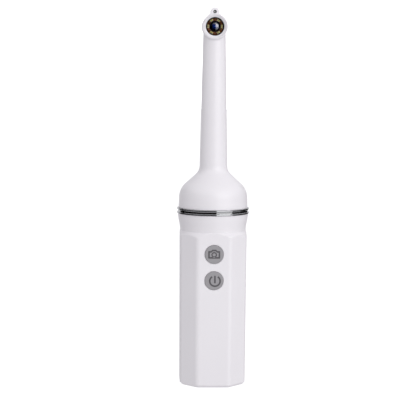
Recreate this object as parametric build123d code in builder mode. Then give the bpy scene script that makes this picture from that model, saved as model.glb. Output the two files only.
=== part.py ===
from build123d import *
from math import hypot, radians, sqrt, tan
import os

# A cordless intraoral camera that stands on the cap of its handle. Millimetres, +Z up, the lens and
# the buttons face -Y, and the origin is the middle of the base.

# Clearances
slip = 0.05  # between pieces that slide together
play = 0.25  # between inner pieces that only drop in
button_gap = 0.08  # round a button

# Handle wall and outline
handle_wall = 2.0
handle_draft = 0.3  # how far each flat leans in towards the base
flat_share = 0.5  # width of the front, back and side flats over the width across flats
handle_edge_radius = 3.4
point_slope = 0.78  # how steeply the tops of the facets run out, like a sharpened pencil
collar_height = 9.0
collar_step = 0.1  # the collar's neck is this far inside the flats
collar_flare = 1.15
mouth_chamfer = 0.4
arch_edge = 0.6  # along the tops of the facets

# Push buttons
button_radius = 4.9
button_proud = 0.2
button_flange = 1.0
button_flange_thickness = 0.8
button_stem_radius = 1.5
button_stem_length = 0.5
button_edge = 0.3
button_hole_chamfer = 0.25
button_travel = 0.4
button_pitch = 13.9
first_button_drop = 11.2  # from the tops of the facets down to the upper button

# Push switches
switch_width = 6.0
switch_height = 3.3
plunger_radius = 1.6
plunger_reach = 0.9
plunger_sunk = 0.9

# Main board and what is on it
board_thickness = 1.2
board_width = 25.0
board_top_gap = 0.6
socket_width = 8.94
socket_height = 3.2
socket_length = 7.35
socket_corner = 1.5
socket_recess = 0.5
socket_wall = 0.35
socket_tongue = 0.7
socket_side_room = 0.77  # on each side of the tongue inside the socket
socket_back = 1.47
tongue_width = 12.0
wifi_width = 15.0
wifi_length = 20.0
wifi_height = 2.6
processor_width = 9.0
processor_height = 1.0
connector_width = 7.0
connector_length = 2.6
connector_height = 2.2
chip_gap = 1.0  # between one block on the board and the next
chip_edge = 0.15

# Inner frame and cell
boss_height = 1.4
boss_radius = 2.0
spine_thickness = 1.5
bulkhead_thickness = 2.2
cell_radius = 9.15
cell_length = 65.0
cell_contact_radius = 2.8
cell_contact_height = 0.8
cell_grip = 2.5  # how far the cradle reaches past the middle of the cell
tab_thickness = 0.3
tab_width = 5.0
tab_leg = 5.0
rear_gap = 3.4
cradle_window_width = 9.0
cradle_window_length = 11.0
cradle_windows = 3
cradle_window_corner = 2.0
spine_edge = 0.5  # the spine is this much narrower than the board on each side
shoulder_drop = 4.0  # from the tops of the facets down to the shoulder inside the handle

# Screws
board_screw_radius = 0.9
board_screw_head = 1.7
board_screw_head_height = 0.9
board_screw_edge = 1.0  # from the head of a screw to the edge of the board
board_screw_inset = 9.75  # from the ends of the cell to the screws beside it
cap_screw_radius = 1.0
cap_screw_head = 2.0
cap_screw_sunk = 0.3
cap_screw_spread = 10.0
cap_screw_back = 6.0
post_radius = 2.8

# End cap
cap_rim = 1.9
cap_chamfer = 1.3
cap_plate = 2.4
cap_plug = 3.6
cap_plug_wall = 1.4
post_length = 5.8
seal_height = 1.2
seal_depth = 0.5

# Bright ring and neck
ring_height = 3.0
ring_proud = 1.55
ring_waist = 0.5
ring_lip = 0.85
ring_lip_radius = 0.25
neck_inset = 2.7  # the neck is this far inside the flats
neck_wall = 2.7
neck_length = 10.5
neck_flange = 2.0
neck_seal_radius = 0.8
neck_seal_height = 3.6  # centre of the seal above the end of the neck

# Dome and wand
dome_proud = 0.75
dome_lean = 0.4  # how far the side of the dome leans in towards its shoulder
dome_height = 9.9  # up to the corner of the shoulder, before it is rounded
shoulder_angle = 47.6  # of the sloping shoulder, from the vertical
shoulder_round = 9.8
wand_foot_radius = 7.42
wand_foot_round = 6.3
wand_top_radius = 5.92
wand_length = 76.2  # from the foot of the wand to the axis of the head
shell_wall = 1.7
dome_lip_radius = 0.3

# Head and lug
head_rim = 0.65
head_edge_radius = 0.5
head_back_radius = 4.0
head_back_proud = 0.15
head_blend = 0.8  # where the head meets the wand
lug_reach = 7.75  # from the axis of the head to the middle of the lug
lug_radius = 2.4
lug_flare = 1.9  # how far the lug's sides spread where they run into the head
lug_hole_radius = 0.9
lug_bush_bore_radius = 0.3
lug_bush_sunk = 0.2  # below the front and back faces of the lug
lug_thickness = 5.0
lug_setback = 3.0
lug_blend = 1.1
lug_edge = 0.4

# Camera module
window_visible_radius = 4.85
window_seat = 0.55
window_thickness = 0.8
bezel_setback = 0.1
bezel_thickness = 1.3
bezel_width = 1.25
bezel_land = 0.25
gasket_thickness = 0.4
gasket_width = 1.05
module_gap = 0.15
module_radius = 4.9
led_board_thickness = 0.75
led_count = 6
led_width = 1.6
led_depth = 1.0
led_height = 0.5
led_edge = 0.12
barrel_radius = 2.35
barrel_length = 4.7
lens_radius = 1.9
lens_thickness = 0.5
lens_bulge = 0.25
lens_sunk = 0.1
holder_width = 6.8
holder_depth = 4.6
sensor_width = 4.0
sensor_thickness = 0.8
sensor_room = 0.4
sensor_board_thickness = 0.8
rear_pocket_depth = 2.7
rear_pocket_radius = 4.2
rear_wall = 1.8
head_plug_width = 5.0
head_plug_height = 2.4
head_plug_depth = 1.2

# Flat cable
flex_width = 4.0
flex_thickness = 0.3
flex_bend = 16.0
flex_side_room = 0.6

# Levels, from the base up
shoulder_z = (cap_plate + post_length + bulkhead_thickness + tab_thickness + cell_length
              + tab_thickness + play + bulkhead_thickness)
facet_top_z = shoulder_z + shoulder_drop
handle_top_z = facet_top_z + collar_height
dome_z = handle_top_z + ring_height
dome_corner_z = dome_z + dome_height
lower_bulkhead_z = cap_plate + post_length
cell_z = lower_bulkhead_z + bulkhead_thickness + tab_thickness
upper_bulkhead_z = shoulder_z - bulkhead_thickness
cell_top_z = cell_z + cell_length
board_z = cap_plate + board_top_gap
board_top_z = shoulder_z - board_top_gap
plug_top_z = cap_rim + cap_plug
photo_z = facet_top_z - first_button_drop
power_z = photo_z - button_pitch

# Depths from the inside of the front wall back to the cell. The handle is as wide across its flats
# as this stack, the cell, the room behind it and two walls, and wider if the board's front corners
# need it to clear the slanting walls
flange_y = slip + button_flange_thickness
stem_y = flange_y + button_stem_length
switch_y = stem_y + plunger_reach
board_front_y = switch_y + switch_height
board_back_y = board_front_y + board_thickness
spine_front_y = board_back_y + boss_height
cell_front_y = spine_front_y + spine_thickness + slip
half_depth = (2 * handle_wall + cell_front_y + 2 * cell_radius + rear_gap) / 2
corner_reach = (board_width / 2 + play + handle_draft - board_front_y
                + (handle_wall + handle_draft) * tan(radians(22.5)))
half_across = max(half_depth, corner_reach / flat_share)
inner_half = half_across - handle_wall
inner_edge_radius = max(handle_edge_radius - handle_wall, slip)
board_face = board_front_y - inner_half
board_back = board_back_y - inner_half
spine_face = spine_front_y - inner_half
cell_axis = cell_front_y + cell_radius - inner_half
cell_pocket_radius = cell_radius + slip

# Radii of the round pieces
collar_radius = half_across - collar_step
collar_top_radius = collar_radius + collar_flare
ring_radius = half_across + ring_proud
dome_radius = half_across + dome_proud
neck_radius = half_across - neck_inset
neck_outer = neck_radius - slip
neck_inner = neck_radius - neck_wall
dome_top_radius = dome_radius - dome_lean
wand_foot_z = dome_corner_z + (dome_top_radius - wand_foot_radius) / tan(radians(shoulder_angle))
head_z = wand_foot_z + wand_length

# Head, from its back forward along -Y
head_back_y = wand_top_radius + head_back_proud
pocket_y = head_back_y - rear_wall
sensor_board_y = pocket_y - rear_pocket_depth
holder_y = sensor_board_y - sensor_board_thickness
led_board_y = holder_y - holder_depth
led_y = led_board_y - led_board_thickness
gasket_y = led_y - module_gap
window_y = gasket_y - gasket_thickness
bezel_y = window_y - window_thickness
head_front_y = bezel_y - bezel_thickness - bezel_setback
window_radius = window_visible_radius + window_seat
bezel_radius = window_visible_radius + bezel_width
head_radius = bezel_radius + slip + head_rim
gasket_inner_radius = window_radius - gasket_width
led_circle_radius = gasket_inner_radius - led_depth / 2 - play
cable_y = sensor_board_y + head_plug_depth / 2
head_plug_z = head_z - head_plug_height


def octagon(inset, edge_radius):
    """The handle's eight-sided outline, moved in by an inset, with rounded corners."""
    far = half_across - inset
    near = half_across * flat_share - inset * tan(radians(22.5))
    with BuildSketch() as outline:
        with BuildLine():
            FilletPolyline((near, -far), (far, -near), (far, near), (near, far),
                           (-near, far), (-far, near), (-far, -near), (-near, -far),
                           radius=edge_radius, close=True)
        make_face()
    return outline.sketch


def lean_at(z):
    """How far a flat leans in at a height."""
    return handle_draft * (facet_top_z - z) / (facet_top_z - cap_rim)


def facing_front(y, z):
    """A sketch plane that looks out of the front at the given place."""
    return Plane(origin=(0, y, z), x_dir=(1, 0, 0), z_dir=(0, -1, 0))


def wand_corners(inset):
    """Half outline of the dome and wand: its two corners, moved in by a wall."""
    drop = inset * tan(radians(shoulder_angle / 2))
    foot = (wand_foot_radius - inset, wand_foot_z - drop)
    shoulder = (dome_top_radius - inset, dome_corner_z - drop)
    return foot, shoulder


# The dome, the wand, the housing of the head and the lug are one hollow moulding
with BuildPart() as wand_shell:
    foot_x = lug_radius + lug_flare
    foot_z = sqrt(head_radius**2 - foot_x**2) - slip
    with BuildSketch(facing_front(head_front_y + lug_setback + lug_thickness, head_z)):
        with BuildLine():
            for side in (-1, 1):
                FilletPolyline((side * foot_x, 0), (side * foot_x, foot_z),
                               (side * lug_radius, foot_z + lug_flare), (side * lug_radius, lug_reach),
                               radius=[0, lug_blend])
            ThreePointArc((-lug_radius, lug_reach), (0, lug_reach + lug_radius),
                          (lug_radius, lug_reach))
            Line((-foot_x, 0), (foot_x, 0))
        make_face()
    extrude(amount=lug_thickness)
    fillet(wand_shell.edges().filter_by(GeomType.CIRCLE).group_by(Axis.Z)[-1], lug_edge)
    with BuildSketch(facing_front(head_back_y, head_z)):
        Circle(head_radius)
    extrude(amount=head_back_y - head_front_y)
    fillet(wand_shell.faces().sort_by(Axis.Y)[-1].edges(), head_back_radius)
    with BuildSketch(Plane.XZ):
        foot, shoulder = wand_corners(0)
        with BuildLine():
            FilletPolyline((0, head_z), (wand_top_radius, head_z), foot, shoulder,
                           (dome_radius, dome_z), (0, dome_z), close=True,
                           radius=[0, 0, wand_foot_round, shoulder_round, dome_lip_radius, 0])
        make_face()
    revolve(axis=Axis.Z)
    joint = wand_shell.edges().filter_by(GeomType.BSPLINE).filter_by_position(Axis.Z, 0, head_z)
    fillet(joint, head_blend)
    fillet(wand_shell.faces().sort_by(Axis.Y)[0].edges(), head_edge_radius)
    # the wand's bore, open at the mouth of the dome
    with BuildSketch(Plane.XZ):
        foot, shoulder = wand_corners(shell_wall)
        bore_top_z = head_z - head_radius
        bore_top_radius = wand_top_radius - shell_wall
        with BuildLine():
            FilletPolyline((0, bore_top_z), (bore_top_radius, bore_top_z), foot, shoulder,
                           (dome_radius - shell_wall, dome_z), (0, dome_z), close=True,
                           radius=[0, 0, wand_foot_round + shell_wall,
                                   shoulder_round - shell_wall, 0, 0])
        make_face()
    revolve(axis=Axis.Z, mode=Mode.SUBTRACT)
    # the stepped bore of the head, from its mouth back to its pocket
    for radius, back_y in ((bezel_radius + slip, bezel_y), (window_radius + slip, gasket_y),
                           (module_radius + 2 * slip, sensor_board_y),
                           (rear_pocket_radius, pocket_y)):
        with BuildSketch(facing_front(back_y, head_z)):
            Circle(radius)
        extrude(amount=back_y - head_front_y, mode=Mode.SUBTRACT)
    # the way down for the flat cable
    with BuildSketch(Plane.XY.offset(bore_top_z - flex_side_room)):
        with Locations((0, cable_y)):
            Rectangle(flex_width + 2 * flex_side_room, flex_thickness + 2 * flex_side_room)
    extrude(amount=head_radius, mode=Mode.SUBTRACT)
    with BuildSketch(facing_front(head_back_y, head_z)):
        with Locations((0, lug_reach)):
            Circle(lug_hole_radius)
    extrude(amount=head_back_y - head_front_y, mode=Mode.SUBTRACT)

# A black bush lines the hole of the lug
with BuildPart() as lug_bush:
    with BuildSketch(facing_front(head_front_y + lug_setback + lug_thickness - lug_bush_sunk, head_z)):
        with Locations((0, lug_reach)):
            Circle(lug_hole_radius - slip)
            Circle(lug_bush_bore_radius, mode=Mode.SUBTRACT)
    extrude(amount=lug_thickness - 2 * lug_bush_sunk)

# A bevelled ring closes the front of the head and holds the window
with BuildPart() as head_bezel:
    with BuildSketch(facing_front(bezel_y, head_z)):
        Circle(bezel_radius)
        Circle(window_visible_radius, mode=Mode.SUBTRACT)
    extrude(amount=bezel_thickness)
    bevel_edge = head_bezel.faces().sort_by(Axis.Y)[0].edges().sort_by(SortBy.RADIUS)[0]
    chamfer(bevel_edge, bezel_width - bezel_land, bezel_thickness - bezel_land)

with BuildPart() as head_window:
    with BuildSketch(facing_front(window_y, head_z)):
        Circle(window_radius)
    extrude(amount=window_thickness)

with BuildPart() as window_gasket:
    with BuildSketch(facing_front(gasket_y, head_z)):
        Circle(window_radius)
        Circle(gasket_inner_radius, mode=Mode.SUBTRACT)
    extrude(amount=gasket_thickness)

# The lights stand on a ring of board round the lens
with BuildPart() as led_board:
    with BuildSketch(facing_front(led_board_y, head_z)):
        Circle(module_radius)
        Circle(barrel_radius + slip, mode=Mode.SUBTRACT)
    extrude(amount=led_board_thickness)

leds = []
for index in range(led_count):
    with BuildPart() as led:
        with BuildSketch(facing_front(led_y, head_z)):
            with PolarLocations(led_circle_radius, 1, index * 360 / led_count):
                Rectangle(led_depth, led_width)
        extrude(amount=led_height)
        chamfer(led.faces().sort_by(Axis.Y)[0].edges(), led_edge)
    leds.append(led)

with BuildPart() as lens_barrel:
    with BuildSketch(facing_front(led_y - led_height / 2 + barrel_length, head_z)):
        Circle(barrel_radius)
    extrude(amount=barrel_length)
    barrel_front_y = led_y - led_height / 2
    lens_back_y = barrel_front_y + lens_sunk + lens_thickness
    with BuildSketch(facing_front(lens_back_y, head_z)):
        Circle(lens_radius + slip)
    extrude(amount=lens_back_y - barrel_front_y, mode=Mode.SUBTRACT)

# The front lens is a disc whose face swells forward
with BuildPart() as front_lens:
    with BuildSketch(facing_front(lens_back_y, head_z)):
        Circle(lens_radius)
    extrude(amount=lens_thickness)
    with BuildSketch(Plane(origin=(0, lens_back_y - lens_thickness, head_z),
                           x_dir=(1, 0, 0), z_dir=(0, 0, 1))):
        with BuildLine():
            ThreePointArc((-lens_radius, 0), (0, -lens_bulge), (lens_radius, 0))
            Line((lens_radius, 0), (-lens_radius, 0))
        make_face()
        with Locations((-lens_radius, 0)):
            Rectangle(2 * lens_radius, 2 * lens_radius, mode=Mode.SUBTRACT)
    revolve(axis=Axis((0, 0, head_z), (0, 1, 0)))

# The holder carries the barrel in front and clears the sensor behind it
with BuildPart() as lens_holder:
    with BuildSketch(facing_front(holder_y, head_z)):
        Rectangle(holder_width, holder_width)
    extrude(amount=holder_depth)
    fillet(lens_holder.edges().filter_by(Axis.Y), head_edge_radius)
    with BuildSketch(facing_front(holder_y, head_z)):
        Circle(barrel_radius + slip)
    extrude(amount=holder_depth, mode=Mode.SUBTRACT)
    with BuildSketch(facing_front(holder_y, head_z)):
        Rectangle(sensor_width + 2 * slip, sensor_width + 2 * slip)
    extrude(amount=sensor_thickness + sensor_room, mode=Mode.SUBTRACT)

with BuildPart() as image_sensor:
    with BuildSketch(facing_front(holder_y, head_z)):
        Rectangle(sensor_width, sensor_width)
    extrude(amount=sensor_thickness)

with BuildPart() as sensor_board:
    with BuildSketch(facing_front(sensor_board_y, head_z)):
        Circle(module_radius)
    extrude(amount=sensor_board_thickness)

with BuildPart() as sensor_connector:
    with BuildSketch(facing_front(sensor_board_y + head_plug_depth, head_plug_z)):
        Rectangle(head_plug_width, head_plug_height, align=(Align.CENTER, Align.MIN))
    extrude(amount=head_plug_depth)

# The flat cable runs down the wand and forward to the connector on the main board
cable_foot_y = board_face - connector_height / 2
cable_foot_z = board_top_z
with BuildPart() as flex_cable:
    with BuildLine(Plane.YZ) as flex_route:
        FilletPolyline((cable_y, head_plug_z), (cable_y, wand_foot_z), (cable_foot_y, handle_top_z),
                       (cable_foot_y, cable_foot_z), radius=flex_bend)
    with BuildSketch(Plane.XY.offset(head_plug_z)):
        with Locations((0, cable_y)):
            Rectangle(flex_width, flex_thickness)
    sweep(path=flex_route.wires()[0])

# The neck collar sits in the mouth of the dome and plugs into the handle
neck_end_z = dome_z - neck_length
neck_seal_z = neck_end_z + neck_seal_height
with BuildPart() as neck_collar:
    with BuildSketch(Plane.XY.offset(neck_end_z)):
        Circle(neck_outer)
    extrude(amount=neck_length)
    with BuildSketch(Plane.XY.offset(dome_z)):
        Circle(dome_radius - shell_wall - dome_lean * neck_flange / dome_height - 2 * slip)
    extrude(amount=neck_flange)
    with BuildSketch(Plane.XY.offset(neck_end_z)):
        Circle(neck_inner)
    extrude(amount=neck_length + neck_flange, mode=Mode.SUBTRACT)
    with BuildSketch(Plane.XY.offset(neck_seal_z - neck_seal_radius - slip)):
        Circle(neck_outer)
        Circle(neck_outer - 2 * neck_seal_radius, mode=Mode.SUBTRACT)
    extrude(amount=2 * (neck_seal_radius + slip), mode=Mode.SUBTRACT)
    chamfer(neck_collar.faces().sort_by(Axis.Z)[0].outer_wire().edges(), mouth_chamfer)

with BuildPart() as neck_seal:
    with BuildSketch(Plane.XZ):
        with Locations((neck_outer - neck_seal_radius, neck_seal_z)):
            Circle(neck_seal_radius - slip / 2)
    revolve(axis=Axis.Z)

# The bright ring has a rounded lip above and below a waist
with BuildPart() as chrome_ring:
    waist = ring_radius - ring_waist
    with BuildSketch(Plane.XZ):
        with BuildLine():
            FilletPolyline((neck_radius, handle_top_z), (ring_radius, handle_top_z),
                           (ring_radius, handle_top_z + ring_lip), (waist, handle_top_z + ring_lip),
                           (waist, dome_z - ring_lip), (ring_radius, dome_z - ring_lip),
                           (ring_radius, dome_z), (neck_radius, dome_z), close=True,
                           radius=[0, ring_lip_radius, ring_lip_radius, ring_lip_radius,
                                   ring_lip_radius, ring_lip_radius, ring_lip_radius, 0])
        make_face()
    revolve(axis=Axis.Z)

# The handle is an eight-sided tube whose facets run out like those of a sharpened pencil, under a
# round collar that flares to meet the ring
with BuildPart() as handle_shell:
    for z in (cap_rim, facet_top_z):
        with BuildSketch(Plane.XY.offset(z)):
            add(octagon(lean_at(z), handle_edge_radius))
    loft(ruled=True)
    point_radius = hypot(half_across, half_across)
    point_z = facet_top_z - (point_radius - collar_radius) / point_slope
    with BuildSketch(Plane.XZ):
        with BuildLine():
            Polyline((0, cap_rim), (point_radius, cap_rim), (point_radius, point_z),
                     (collar_radius, facet_top_z), (0, facet_top_z), close=True)
        make_face()
    revolve(axis=Axis.Z, mode=Mode.INTERSECT)
    with BuildSketch(Plane.XZ):
        with BuildLine():
            Spline((collar_radius, facet_top_z), (collar_top_radius, handle_top_z),
                   tangents=((0, 1), (0, 1)))
            Polyline((collar_top_radius, handle_top_z), (0, handle_top_z), (0, facet_top_z),
                     (collar_radius, facet_top_z))
        make_face()
    revolve(axis=Axis.Z)
    arches = handle_shell.edges().filter_by(GeomType.BSPLINE).filter_by_position(
        Axis.Z, point_z, facet_top_z - collar_step)
    fillet(arches, arch_edge)
    for z in (cap_rim, shoulder_z):
        with BuildSketch(Plane.XY.offset(z)):
            add(octagon(lean_at(z) + handle_wall, inner_edge_radius))
    loft(ruled=True, mode=Mode.SUBTRACT)
    with BuildSketch(Plane.XY.offset(shoulder_z)):
        Circle(neck_radius)
    extrude(amount=handle_top_z - shoulder_z, mode=Mode.SUBTRACT)
    for z in (photo_z, power_z):
        with BuildSketch(facing_front(0, z)):
            Circle(button_radius + button_gap)
        extrude(amount=half_across, mode=Mode.SUBTRACT)
        with BuildSketch(facing_front(lean_at(z) - half_across + button_hole_chamfer, z)):
            Circle(button_radius + button_gap)
        extrude(amount=button_hole_chamfer + play, taper=-45, mode=Mode.SUBTRACT)


def round_button(z):
    """A cap that fills its hole in the front flat, with a flange inside and a stem for the switch."""
    wall_y = lean_at(z) - inner_half
    with BuildPart() as button:
        with BuildSketch(facing_front(wall_y + flange_y, z)):
            Circle(button_radius + button_flange)
        extrude(amount=button_flange_thickness)
        with BuildSketch(facing_front(wall_y + flange_y, z)):
            Circle(button_radius)
        extrude(amount=flange_y + handle_wall + button_proud)
        fillet(button.faces().sort_by(Axis.Y)[0].edges(), button_edge)
        with BuildSketch(facing_front(stem_y - inner_half, z)):
            Circle(button_stem_radius)
        extrude(amount=button_stem_length + button_flange_thickness)
    return button


def push_switch(z):
    """The square body of a switch on the board, with a well for its plunger."""
    with BuildPart() as switch:
        with BuildSketch(facing_front(board_face, z)):
            Rectangle(switch_width, switch_width)
        extrude(amount=switch_height)
        well_depth = plunger_sunk + button_travel + play
        with BuildSketch(facing_front(board_face - switch_height + well_depth, z)):
            Circle(plunger_radius + slip)
        extrude(amount=well_depth, mode=Mode.SUBTRACT)
    return switch


def push_plunger(z):
    """The plunger that the button's stem pushes into the switch."""
    with BuildPart() as plunger:
        with BuildSketch(facing_front(switch_y - inner_half + plunger_sunk, z)):
            Circle(plunger_radius)
        extrude(amount=plunger_reach + plunger_sunk)
    return plunger


photo_button = round_button(photo_z)
power_button = round_button(power_z)
photo_switch = push_switch(photo_z)
power_switch = push_switch(power_z)
photo_plunger = push_plunger(photo_z)
power_plunger = push_plunger(power_z)

# The frame is a channel that grips the cell, between two plates that fit inside the handle
screw_places = [(side * (board_width / 2 - board_screw_head - board_screw_edge), z)
                for side in (-1, 1) for z in (cell_z + board_screw_inset, cell_top_z - board_screw_inset)]
post_places = [(side * cap_screw_spread, cap_screw_back) for side in (-1, 1)]
with BuildPart() as chassis:
    for z in (lower_bulkhead_z, upper_bulkhead_z):
        with BuildSketch(Plane.XY.offset(z)):
            add(octagon(lean_at(lower_bulkhead_z) + handle_wall + play, inner_edge_radius))
            with Locations((0, board_back + slip)):
                Rectangle(2 * half_across, half_across, align=(Align.CENTER, Align.MAX),
                          mode=Mode.SUBTRACT)
        extrude(amount=bulkhead_thickness)
    channel_z = lower_bulkhead_z + bulkhead_thickness
    with BuildSketch(Plane.XY.offset(channel_z)):
        with Locations((0, cell_axis)):
            Circle(cell_pocket_radius + spine_thickness)
        with Locations((0, cell_axis + cell_grip)):
            Rectangle(2 * half_across, half_across, align=(Align.CENTER, Align.MIN),
                      mode=Mode.SUBTRACT)
        with Locations((0, spine_face)):
            Rectangle(board_width - 2 * spine_edge, spine_thickness,
                      align=(Align.CENTER, Align.MIN))
        with Locations((0, cell_axis)):
            Circle(cell_pocket_radius, mode=Mode.SUBTRACT)
    extrude(amount=upper_bulkhead_z - channel_z)
    # openings in the spine that lighten it
    with BuildSketch(facing_front(cell_axis, cell_z + cell_length / 2)):
        with GridLocations(0, cell_length / (cradle_windows + 1), 1, cradle_windows):
            RectangleRounded(cradle_window_width, cradle_window_length, cradle_window_corner)
    extrude(amount=cell_axis - spine_face, mode=Mode.SUBTRACT)
    # slots for the legs of the two battery tabs
    for z, side in ((channel_z, Align.MIN), (upper_bulkhead_z, Align.MAX)):
        with BuildSketch(facing_front(cell_axis, z)):
            Rectangle(tab_width + 2 * play, tab_leg + 2 * play, align=(Align.CENTER, side))
        extrude(amount=cell_axis - spine_face, mode=Mode.SUBTRACT)
    with BuildSketch(facing_front(spine_face, 0)):
        with Locations(*screw_places):
            Circle(boss_radius)
    extrude(amount=boss_height)
    with BuildSketch(facing_front(board_back, 0)):
        with Locations(*screw_places):
            Circle(board_screw_radius + slip)
    extrude(amount=-(boss_height + spine_thickness), mode=Mode.SUBTRACT)
    # posts that stand on the end cap and take its screws
    with BuildSketch(Plane.XY.offset(cap_plate)):
        with Locations(*post_places):
            Circle(post_radius)
            Circle(cap_screw_radius + slip, mode=Mode.SUBTRACT)
    extrude(amount=post_length)

with BuildPart() as battery_cell:
    with BuildSketch(Plane.XY.offset(cell_z)):
        with Locations((0, cell_axis)):
            Circle(cell_radius)
    extrude(amount=cell_length - cell_contact_height)
    fillet(battery_cell.edges(), cell_contact_height / 2)
    with BuildSketch(Plane.XY.offset(cell_top_z)):
        with Locations((0, cell_axis)):
            Circle(cell_contact_radius)
    extrude(amount=-cell_contact_height)


def battery_tab(cell_end_z, outer_z, leg_z):
    """A strip that lies on one end of the cell and turns to run along the back of the board."""
    back_y = cell_axis + cell_contact_radius
    leg_y = board_back + tab_thickness
    with BuildPart() as tab:
        with BuildSketch(Plane.YZ.offset(-tab_width / 2)):
            with BuildLine():
                Polyline((back_y, cell_end_z), (back_y, outer_z), (board_back, outer_z),
                         (board_back, leg_z), (leg_y, leg_z), (leg_y, cell_end_z), close=True)
            make_face()
        extrude(amount=tab_width)
    return tab


battery_tab_top = battery_tab(cell_top_z, cell_top_z + tab_thickness, cell_top_z - tab_leg)
battery_tab_bottom = battery_tab(cell_z, cell_z - tab_thickness, cell_z + tab_leg)

# The main board narrows to a tongue at its foot, where the charging socket sits
with BuildPart() as main_board:
    tongue_top = plug_top_z + play
    with BuildSketch(facing_front(board_back, 0)):
        with Locations((0, board_z)):
            Rectangle(tongue_width, tongue_top - board_z, align=(Align.CENTER, Align.MIN))
        with Locations((0, tongue_top)):
            Rectangle(board_width, board_top_z - tongue_top, align=(Align.CENTER, Align.MIN))
        with Locations(*screw_places):
            Circle(board_screw_radius + slip, mode=Mode.SUBTRACT)
    extrude(amount=board_thickness)

with BuildPart() as board_screws:
    for x, z in screw_places:
        with BuildSketch(facing_front(board_face, z)):
            with Locations((x, 0)):
                Circle(board_screw_head)
        extrude(amount=board_screw_head_height)
        with BuildSketch(facing_front(board_face, z)):
            with Locations((x, 0)):
                Circle(board_screw_radius)
        extrude(amount=-(board_thickness + boss_height + spine_thickness - play))


def chip(width, length, height, low_z):
    """A flat block on the front of the board."""
    with BuildPart() as block:
        with BuildSketch(facing_front(board_face, low_z)):
            Rectangle(width, length, align=(Align.CENTER, Align.MIN))
        extrude(amount=height)
        chamfer(block.faces().sort_by(Axis.Y)[0].edges(), chip_edge)
    return block


board_connector = chip(connector_width, connector_length, connector_height,
                       board_top_z - connector_length)
processor_z = power_z - switch_width / 2 - chip_gap - processor_width
image_processor = chip(processor_width, processor_width, processor_height, processor_z)
wifi_module = chip(wifi_width, wifi_length, wifi_height, processor_z - chip_gap - wifi_length)

# The charging socket is a folded metal shell round a tongue, open towards the base
socket_y = board_face - socket_height / 2
socket_top_z = socket_recess + socket_length
with BuildPart() as charge_socket:
    with BuildSketch(Plane.XY.offset(socket_recess)):
        with Locations((0, socket_y)):
            RectangleRounded(socket_width, socket_height, socket_corner)
    extrude(amount=socket_length)
    with BuildSketch(Plane.XY.offset(socket_recess)):
        with Locations((0, socket_y)):
            RectangleRounded(socket_width - 2 * socket_wall, socket_height - 2 * socket_wall,
                             socket_corner - socket_wall)
            Rectangle(socket_width - 2 * socket_wall - 2 * socket_side_room, socket_tongue,
                      mode=Mode.SUBTRACT)
    extrude(amount=socket_length - socket_back, mode=Mode.SUBTRACT)

# The end cap has a rim under the handle and a plug inside it
cap_lean = lean_at(cap_rim)
plug_lean = cap_lean + handle_wall + slip
seal_z = cap_rim + (cap_plug - seal_height) / 2
with BuildPart() as end_cap:
    with BuildSketch():
        add(octagon(cap_lean, handle_edge_radius))
    extrude(amount=cap_rim)
    chamfer(end_cap.faces().sort_by(Axis.Z)[0].edges(), cap_chamfer)
    with BuildSketch(Plane.XY.offset(cap_rim)):
        add(octagon(plug_lean, inner_edge_radius))
    extrude(amount=cap_plug)
    with BuildSketch(Plane.XY.offset(cap_plate)):
        add(octagon(plug_lean + cap_plug_wall, inner_edge_radius))
    extrude(amount=plug_top_z - cap_plate, mode=Mode.SUBTRACT)
    with BuildSketch(Plane.XY.offset(seal_z)):
        add(octagon(plug_lean - slip, inner_edge_radius))
        add(octagon(plug_lean + seal_depth, inner_edge_radius), mode=Mode.SUBTRACT)
    extrude(amount=seal_height, mode=Mode.SUBTRACT)
    # mouth of the charging socket
    with BuildSketch():
        with Locations((0, socket_y)):
            RectangleRounded(socket_width + 2 * play, socket_height + 2 * play, socket_corner + play)
    extrude(amount=cap_plate, mode=Mode.SUBTRACT)
    for x, y in post_places:
        with Locations(Plane(origin=(x, y, 0), z_dir=(0, 0, -1))):
            CounterSinkHole(cap_screw_radius + slip, cap_screw_head + slip + cap_screw_sunk,
                            counter_sink_angle=90)

with BuildPart() as end_cap_seal:
    with BuildSketch(Plane.XY.offset(seal_z + slip / 2)):
        add(octagon(plug_lean - slip / 2, inner_edge_radius))
        add(octagon(plug_lean + seal_depth - slip / 2, inner_edge_radius), mode=Mode.SUBTRACT)
    extrude(amount=seal_height - slip)

# Two countersunk screws hold the end cap to the posts of the frame
cap_screw_neck_z = cap_screw_sunk + cap_screw_head - cap_screw_radius
with BuildPart() as cap_screws:
    for place in post_places:
        with BuildSketch(Plane.XY.offset(cap_screw_sunk)):
            with Locations(place):
                Circle(cap_screw_head)
        with BuildSketch(Plane.XY.offset(cap_screw_neck_z)) as neck:
            with Locations(place):
                Circle(cap_screw_radius)
        loft()
        extrude(neck.sketch, amount=cap_plate + post_length - play - cap_screw_neck_z)

pieces = {
    "wand_shell": wand_shell, "lug_bush": lug_bush, "head_bezel": head_bezel, "head_window": head_window,
    "window_gasket": window_gasket, "led_board": led_board, "lens_barrel": lens_barrel,
    "front_lens": front_lens, "lens_holder": lens_holder, "image_sensor": image_sensor,
    "sensor_board": sensor_board, "sensor_connector": sensor_connector, "flex_cable": flex_cable,
    "neck_collar": neck_collar, "neck_seal": neck_seal, "chrome_ring": chrome_ring,
    "handle_shell": handle_shell, "photo_button": photo_button, "power_button": power_button,
    "photo_switch": photo_switch, "power_switch": power_switch, "photo_plunger": photo_plunger,
    "power_plunger": power_plunger, "chassis": chassis, "battery_cell": battery_cell,
    "battery_tab_top": battery_tab_top, "battery_tab_bottom": battery_tab_bottom,
    "main_board": main_board, "board_screws": board_screws, "board_connector": board_connector,
    "image_processor": image_processor, "wifi_module": wifi_module, "charge_socket": charge_socket,
    "end_cap": end_cap, "end_cap_seal": end_cap_seal, "cap_screws": cap_screws,
}
for index, led in enumerate(leds, start=1):
    pieces[f"led_{index}"] = led

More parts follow.
